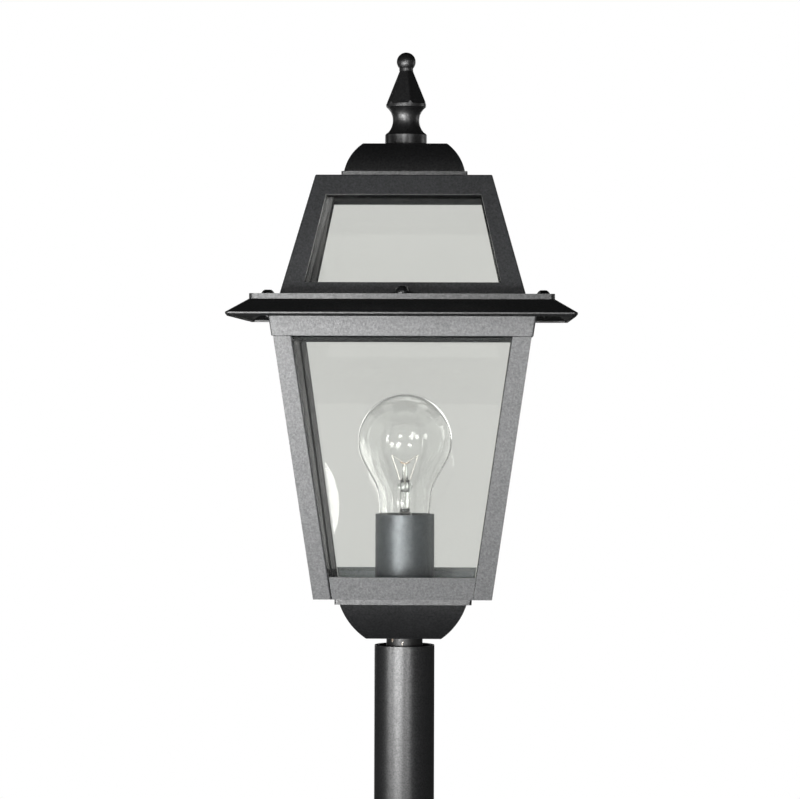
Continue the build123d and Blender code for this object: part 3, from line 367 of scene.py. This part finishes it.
dress(bowl_coat, "bowl")
dress(roof_coat, "roof_frame")
dress(rear_lit_coat, REAR_RAIL)
dress(body_coat, "top_ring", *CORNER_POSTS, *[rail for rail in RAILS if rail != REAR_RAIL])
dress(smooth_coat, "post_tube")
dress(finial_coat, "finial")
dress(cap_coat, "eave_collar", "roof_cap")
dress(dome_coat, "dome_screws")
dress(floor_coat, "floor_plate")
dress(sleeve_coat, "lamp_sleeve")
dress(pane_glass, *PANES)
dress(bulb_glass, "bulb_glass")
dress(stem_glass, "bulb_stem")
dress(black_glass, "bulb_insulator")
dress(zinc, "post_grub_screws", "neck_washer", "neck_locknut", "bowl_screws",
      "floor_screws", "ring_screws", "ring_nuts", "roof_screws", "lampholder_screws",
      "stud_nuts", "earth_screw")
dress(neck_coat, "neck_spigot", "post_bushing")
dress(brass, "screw_shell", "centre_contact", "terminal_screws")
dress(cap_thread, "bulb_cap")
dress(stud_thread, "finial_stud")
dress(solder, "bulb_tip")
dress(tungsten, "bulb_filament")
dress(silicone, "body_beads", "roof_beads", "eave_gasket", "finial_washer", "grommet")
dress(black_plastic, "lampholder_base")
dress(white_plastic, "terminal_block")
dress(porcelain, "lampholder_body")
dress(lead_skin, "lamp_leads")
dress(earth_skin, "earth_lead")

# Glass throws no shadow, so the lamps light what is behind it.
for name in ("bulb_glass", "bulb_stem", *PANES):
    nodes[name].visible_shadow = False

# ---------------------------------------------------------------- rounded edges

WELD_DISTANCE = 0.01 * MM
SHARP_ANGLE = 32.0


def smooth_group():
    """Geometry nodes that shade every face smooth."""
    group = bpy.data.node_groups.new("shade_smooth", "GeometryNodeTree")
    group.interface.new_socket("Geometry", in_out="INPUT", socket_type="NodeSocketGeometry")
    group.interface.new_socket("Geometry", in_out="OUTPUT", socket_type="NodeSocketGeometry")
    start = group.nodes.new("NodeGroupInput")
    smooth = group.nodes.new("GeometryNodeSetShadeSmooth")
    end = group.nodes.new("NodeGroupOutput")
    group.links.new(start.outputs[0], smooth.inputs["Geometry"])
    group.links.new(smooth.outputs[0], end.inputs[0])
    return group


shade_smooth = smooth_group()


def round_edges(width, segments, *names):
    """Rounds the sharp edges of CAD nodes by modifiers."""
    for name in names:
        piece = nodes[name]
        weld = piece.modifiers.new("weld", "WELD")
        weld.merge_threshold = WELD_DISTANCE
        bevel = piece.modifiers.new("bevel", "BEVEL")
        bevel.width = width
        bevel.segments = segments
        bevel.limit_method = "ANGLE"
        bevel.angle_limit = math.radians(SHARP_ANGLE)
        bevel.use_clamp_overlap = True
        smooth = piece.modifiers.new("smooth", "NODES")
        smooth.node_group = shade_smooth
        weighted = piece.modifiers.new("weighted", "WEIGHTED_NORMAL")
        weighted.keep_sharp = False


round_edges(0.5 * MM, 3, "post_tube", "bowl", "top_ring", "eave_collar", "roof_frame", "roof_cap")
round_edges(0.35 * MM, 2, *RAILS, *CORNER_POSTS)
round_edges(0.8 * MM, 4, "dome_screws")
round_edges(0.25 * MM, 2, "lamp_sleeve", "lampholder_base", "lampholder_body", "terminal_block",
            "post_bushing", "neck_spigot", "finial_washer", "floor_plate")

# ---------------------------------------------------------------- lamp's inside

# LAMP_Z is the height of the lamp's lower end as it is screwed in.
LAMP_Z = 179.2 * MM
STEM_TOP = LAMP_Z + 55.8 * MM
COIL_FOOT = LAMP_Z + 66.1 * MM
COIL_TOP = LAMP_Z + 71.3 * MM
COIL_HALF = 8.3 * MM
COIL_RADIUS = 0.30 * MM
COIL_WIRE = 0.08 * MM
COIL_PITCH = 0.50 * MM
HOOK_HALF = 2.9 * MM
HOOK_RISE = 0.8 * MM
HOOK_REACH = 0.5 * MM
HOOK_WIRE = 0.38 * MM
HOOK_STEPS = 8
BUTTON_MIDDLE = 231.0 * MM
BUTTON_RADIUS = 4.7 * MM
BUTTON_HALF_HEIGHT = 4.0 * MM
BUTTON_STEPS = 12
BUTTON_RIPPLE = 0.06
ROD_RADIUS = 1.6 * MM


def new_piece(name, work, material):
    """Adds a bmesh to the scene as a smooth object."""
    mesh = bpy.data.meshes.new(name)
    bmesh.ops.recalc_face_normals(work, faces=work.faces)
    work.to_mesh(mesh)
    work.free()
    for face in mesh.polygons:
        face.use_smooth = True
    mesh.materials.append(material)
    piece = bpy.data.objects.new(name, mesh)
    bpy.context.scene.collection.objects.link(piece)
    return piece


def lathe(name, profile, material, count=40):
    """Round piece on the upright axis from (radius, height) points, which start
    and end on the axis."""
    work = bmesh.new()
    rings = []
    for radius, level in profile[1:-1]:
        rings.append([work.verts.new((radius * math.cos(turn), radius * math.sin(turn), level))
                      for turn in (2 * math.pi * step / count for step in range(count))])
    for low, high in zip(rings, rings[1:]):
        for step in range(count):
            after = (step + 1) % count
            work.faces.new((low[step], low[after], high[after], high[step]))
    for ring, (_, level) in ((rings[0], profile[0]), (rings[-1], profile[-1])):
        middle = work.verts.new((0, 0, level))
        for step in range(count):
            work.faces.new((ring[step], ring[(step + 1) % count], middle))
    return new_piece(name, work, material)


def sweep(name, route, radius, material, sides=6):
    """Thin wire along a list of points."""
    work = bmesh.new()
    rings = []
    for number, point in enumerate(route):
        before = route[max(number - 1, 0)]
        after = route[min(number + 1, len(route) - 1)]
        along = (after - before).normalized()
        across = along.orthogonal().normalized()
        if rings:
            across = (last_across - along * along.dot(last_across)).normalized()
        last_across = across
        beside = along.cross(across)
        rings.append([work.verts.new(point + radius * (across * math.cos(turn) + beside * math.sin(turn)))
                      for turn in (2 * math.pi * side / sides for side in range(sides))])
    for low, high in zip(rings, rings[1:]):
        for side in range(sides):
            after = (side + 1) % sides
            work.faces.new((low[side], low[after], high[after], high[side]))
    work.faces.new(rings[0])
    work.faces.new(rings[-1])
    return new_piece(name, work, material)


def coil_route(start, end, steps=10):
    """Points of a coil round the line from start to end, with steps points a turn."""
    along = (end - start).normalized()
    across = along.orthogonal().normalized()
    beside = along.cross(across)
    length = (end - start).length
    count = int(length / COIL_PITCH * steps)
    points = []
    for step in range(count + 1):
        turn = 2 * math.pi * step / steps
        middle = start + along * (length * step / count)
        points.append(middle + COIL_RADIUS * (across * math.cos(turn) + beside * math.sin(turn)))
    return points


# Glass button on the stem with the thin rod that carries the filament's middle.
button = [(0, BUTTON_MIDDLE - BUTTON_HALF_HEIGHT)]
for step in range(1, BUTTON_STEPS):
    turn = math.pi * (step / BUTTON_STEPS - 0.5)
    ripple = 1 + BUTTON_RIPPLE * math.cos(4 * turn)
    button.append((BUTTON_RADIUS * math.cos(turn) * ripple,
                   BUTTON_MIDDLE + BUTTON_HALF_HEIGHT * math.sin(turn)))
    if button[-1][1] > BUTTON_MIDDLE and button[-1][0] < 2 * ROD_RADIUS:
        break
button += [(ROD_RADIUS * 1.15, STEM_TOP + 0.8 * MM), (ROD_RADIUS, STEM_TOP + 3 * MM),
           (ROD_RADIUS * 0.95, COIL_FOOT - 2.5 * MM), (ROD_RADIUS * 1.1, COIL_FOOT - 1.6 * MM),
           (ROD_RADIUS * 0.7, COIL_FOOT - 0.9 * MM), (0, COIL_FOOT - 0.7 * MM)]
stem_button = lathe("stem_button", button, stem_glass)

# The filament's two halves meet on a hook in their middle.
coils = []
for number, side in enumerate((-1, 1)):
    route = coil_route(Vector((side * COIL_HALF, 0, COIL_TOP)), Vector((0, 0, COIL_FOOT)))
    coils.append(sweep(f"filament_coil_{number}", route, COIL_WIRE, tungsten))
hook_route = []
for step in range(-HOOK_STEPS, HOOK_STEPS + 1):
    share = step / HOOK_STEPS
    hook_route.append(Vector((share * HOOK_HALF, HOOK_REACH * share * share,
                              COIL_FOOT + HOOK_RISE * share * share)))
hook = sweep("filament_hook", hook_route, HOOK_WIRE, molybdenum, 8)
for piece in (stem_button, hook, *coils):
    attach(piece, "bulb")

# ---------------------------------------------------------------- stage

FLOOR_RADIUS = 12.0
# From CLEAR_START to CLEAR_END off the axis the floor goes over into white, and
# nearer it is already white to the share NEAR_WHITE.
FLOOR_CLEAR_START = 0.04
FLOOR_CLEAR_END = 0.24
FLOOR_NEAR_WHITE = 0.55
# Level of the floor in mirrors, in front of the object and elsewhere, and the Y
# between which it changes.
FLOOR_MIRROR_FRONT = 0.26
FLOOR_MIRROR_REST = 0.05
FLOOR_FRONT_END = -0.9
FLOOR_REST_START = -0.3


def disc(name, radius, count=96):
    """Flat round mesh at height 0."""
    mesh = bpy.data.meshes.new(name)
    work = bmesh.new()
    bmesh.ops.create_circle(work, cap_ends=True, radius=radius, segments=count)
    work.to_mesh(mesh)
    work.free()
    piece = bpy.data.objects.new(name, mesh)
    bpy.context.scene.collection.objects.link(piece)
    return piece


def floor_material():
    """Pale floor that goes over into the white background round the object."""
    finish = Finish("pale_floor")
    finish.colour(finish.ramp(finish.noise(400 * MM), (0.3, grey(0.84)), (0.7, grey(0.87))))
    finish.set(Roughness=0.9, Specular_IOR_Level=0.1)
    distance = finish.add("ShaderNodeVectorMath", operation="LENGTH")
    finish.link(finish.place, distance.inputs[0])
    away = finish.span(distance.outputs["Value"], 0.0, 1.0, FLOOR_CLEAR_START, FLOOR_CLEAR_END)
    rays = finish.add("ShaderNodeLightPath").outputs
    seen = finish.maths("MAXIMUM", rays["Is Camera Ray"], rays["Is Transmission Ray"])
    seen_share = finish.maths("MAXIMUM", away, FLOOR_NEAR_WHITE)
    seen = finish.maths("MULTIPLY", seen, seen_share)
    mirror_only = finish.maths("SUBTRACT", rays["Is Glossy Ray"], rays["Is Transmission Ray"])
    mirror_level = finish.span(finish.parts()["Y"], FLOOR_MIRROR_FRONT, FLOOR_MIRROR_REST,
                               FLOOR_FRONT_END, FLOOR_REST_START)
    drop = finish.maths("MULTIPLY", mirror_only, finish.maths("SUBTRACT", 1.0, mirror_level))
    glow_level = finish.maths("SUBTRACT", 1.0, drop)
    share = finish.maths("MAXIMUM", seen, mirror_only)
    glow = finish.add("ShaderNodeEmission")
    finish.link(glow_level, glow.inputs["Strength"])
    mix = finish.add("ShaderNodeMixShader")
    finish.link(share, mix.inputs["Fac"])
    finish.link(finish.shader.outputs["BSDF"], mix.inputs[1])
    finish.link(glow.outputs["Emission"], mix.inputs[2])
    finish.link(mix.outputs["Shader"], finish.tree.nodes["Material Output"].inputs["Surface"])
    return finish.material


floor = disc("floor", FLOOR_RADIUS)
floor.data.materials.append(floor_material())

# ---------------------------------------------------------------- light

world = bpy.data.worlds.new("studio")
bpy.context.scene.world = world
world.use_nodes = True
world_nodes = world.node_tree.nodes
world_links = world.node_tree.links
backdrop = world_nodes["Background"]
backdrop.inputs["Color"].default_value = (1, 1, 1, 1)

# Strength of the world for soft light, and as seen in mirrors at its palest and darkest.
FILL_STRENGTH = 0.12
MIRROR_HORIZON = 0.25
MIRROR_DARK = 0.02

world_rays = world_nodes.new("ShaderNodeLightPath")
direction = world_nodes.new("ShaderNodeTexCoord")
split = world_nodes.new("ShaderNodeSeparateXYZ")
world_links.new(direction.outputs["Generated"], split.inputs["Vector"])


def world_value(kind, **settings):
    node = world_nodes.new(kind)
    for key, value in settings.items():
        setattr(node, key, value)
    return node


def fade(axis, start, end, low, high):
    """Number that goes from low to high as the direction's part goes from start to end."""
    node = world_value("ShaderNodeMapRange", interpolation_type="SMOOTHSTEP")
    for socket, value in (("From Min", start), ("From Max", end), ("To Min", low), ("To Max", high)):
        node.inputs[socket].default_value = value
    world_links.new(split.outputs[axis], node.inputs["Value"])
    return node.outputs["Result"]


# Mirrored, the studio is pale in front at the horizon and dark overhead and behind.
low_light = fade("Z", 0.0, 0.16, 1.0, 0.0)
front_light = fade("Y", -0.1, 0.5, 1.0, 0.0)
pale = world_value("ShaderNodeMath", operation="MULTIPLY")
world_links.new(low_light, pale.inputs[0])
world_links.new(front_light, pale.inputs[1])
mirror_level = world_value("ShaderNodeMapRange")
mirror_level.inputs["To Min"].default_value = MIRROR_DARK
mirror_level.inputs["To Max"].default_value = MIRROR_HORIZON
world_links.new(pale.outputs[0], mirror_level.inputs["Value"])

mirror_mix = world_value("ShaderNodeMix", data_type="FLOAT")
mirror_mix.inputs["A"].default_value = FILL_STRENGTH
world_links.new(world_rays.outputs["Is Glossy Ray"], mirror_mix.inputs["Factor"])
world_links.new(mirror_level.outputs["Result"], mirror_mix.inputs["B"])

seen = world_value("ShaderNodeMath", operation="MAXIMUM")
world_links.new(world_rays.outputs["Is Camera Ray"], seen.inputs[0])
world_links.new(world_rays.outputs["Is Transmission Ray"], seen.inputs[1])
seen_mix = world_value("ShaderNodeMix", data_type="FLOAT")
seen_mix.inputs["B"].default_value = 1.0
world_links.new(seen.outputs[0], seen_mix.inputs["Factor"])
world_links.new(mirror_mix.outputs["Result"], seen_mix.inputs["A"])
world_links.new(seen_mix.outputs["Result"], backdrop.inputs["Strength"])


def lamp(name, shape, azimuth, reach, level, width, height, radiance, aim_level=0.28):
    """Soft lamp round the object, facing its axis at aim_level. Azimuth 0 is the
    camera's side and 90 the right, in degrees; reach is the lamp's distance from
    the axis and level its height."""
    data = bpy.data.lights.new(name, "AREA")
    data.shape = shape
    data.size = width
    data.size_y = height
    filled = math.pi / 4 if shape == "ELLIPSE" else 1.0
    data.energy = radiance * math.pi * width * height * filled
    data.use_nodes = True
    lamp_nodes = data.node_tree.nodes
    lamp_links = data.node_tree.links
    # A ray that has only passed through glass doesn't see the lamp.
    rays = lamp_nodes.new("ShaderNodeLightPath").outputs
    bounced = lamp_nodes.new("ShaderNodeMath")
    bounced.operation = "SUBTRACT"
    bounced.use_clamp = True
    lamp_links.new(rays["Ray Depth"], bounced.inputs[0])
    lamp_links.new(rays["Transmission Depth"], bounced.inputs[1])
    lamp_links.new(bounced.outputs[0], lamp_nodes["Emission"].inputs["Strength"])
    piece = bpy.data.objects.new(name, data)
    turn = math.radians(azimuth)
    place = Vector((reach * math.sin(turn), -reach * math.cos(turn), level))
    piece.location = place
    aim = Vector((0, 0, aim_level)) - place
    piece.rotation_euler = aim.to_track_quat("-Z", "Y").to_euler()
    piece.visible_camera = False
    bpy.context.scene.collection.objects.link(piece)
    return piece


FRONT_REACH = 0.95
STRIP_REACH = 0.90
BACK_REACH = 1.3

# Each of the lamps in front is a bright spot in the bulb. They stay out of the
# part of the studio that the front panes mirror towards the camera, but the rear
# pane mirrors the right edge of the upper lamp.
for name, shape, azimuth, level, width, height, radiance in (
    ("middle_lamp", "ELLIPSE", -14, 0.13, 0.20, 0.20, 48.0),
    ("left_lamp", "ELLIPSE", -30, 0.12, 0.20, 0.20, 50.0),
    ("side_lamp", "ELLIPSE", -54, 0.10, 0.18, 0.18, 26.0),
    ("left_window", "RECTANGLE", -42, 0.34, 0.10, 0.30, 12.0),
    ("low_lamp", "ELLIPSE", 13, 0.09, 0.15, 0.15, 34.0),
    ("upper_lamp", "ELLIPSE", -10, 0.47, 0.15, 0.15, 34.0),
    ("high_lamp", "ELLIPSE", 22, 0.55, 0.20, 0.20, 9.0),
):
    lamp(name, shape, azimuth, FRONT_REACH, level, width, height, radiance)
lamp("right_strip", "RECTANGLE", 112, STRIP_REACH, 0.44, 0.16, 0.30, 4.0)
lamp("left_strip", "RECTANGLE", -102, STRIP_REACH, 0.44, 0.10, 0.30, 2.5)
# These two show the form from behind.
lamp("back_right_softbox", "RECTANGLE", 160, BACK_REACH, 0.50, 0.50, 0.50, 1.8)
lamp("back_left_softbox", "RECTANGLE", 204, BACK_REACH, 0.30, 0.40, 0.50, 1.6)
overhead = lamp("overhead_softbox", "RECTANGLE", 150, 0.58, 1.8, 1.2, 1.2, 0.9, aim_level=0.2)
overhead.visible_glossy = False
